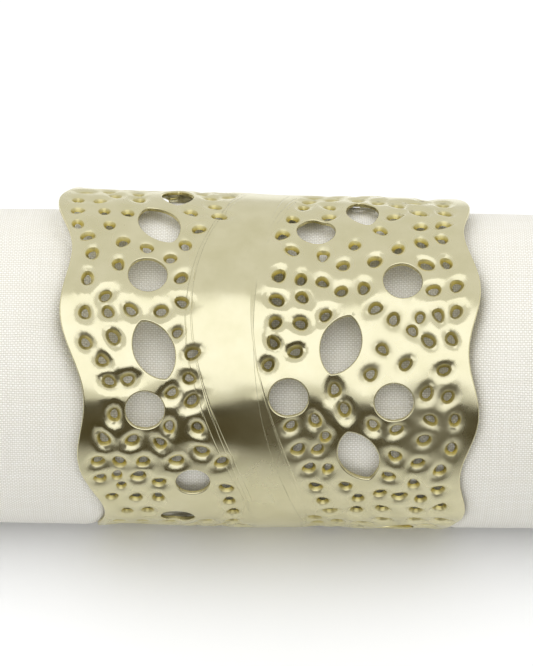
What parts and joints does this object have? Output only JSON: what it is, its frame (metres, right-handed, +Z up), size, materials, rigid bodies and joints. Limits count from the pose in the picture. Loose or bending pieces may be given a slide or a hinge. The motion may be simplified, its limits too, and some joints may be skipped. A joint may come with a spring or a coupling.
{
  "type": "napkin in a ring",
  "caption": "White table napkin, folded lengthwise and rolled up, held by a wide pierced sheet-brass ring with wavy edges.",
  "frame": {"origin": "centre of the whole object's box, on the plane that it rests on", "axes": "+X along the roll, +Z up, -Y towards the front, with the cloth's loose edge low on the back"},
  "size_m": [0.17, 0.0454, 0.0455],
  "materials": {
    "linen_cloth": "white plain-weave linen, washed and pressed",
    "pale_brass": "pale brass sheet, pierced and dimpled, satin polished"
  },
  "bodies": {
    "root": {"napkin": "linen_cloth", "ring": "pale_brass"}
  },
  "joints": []
}
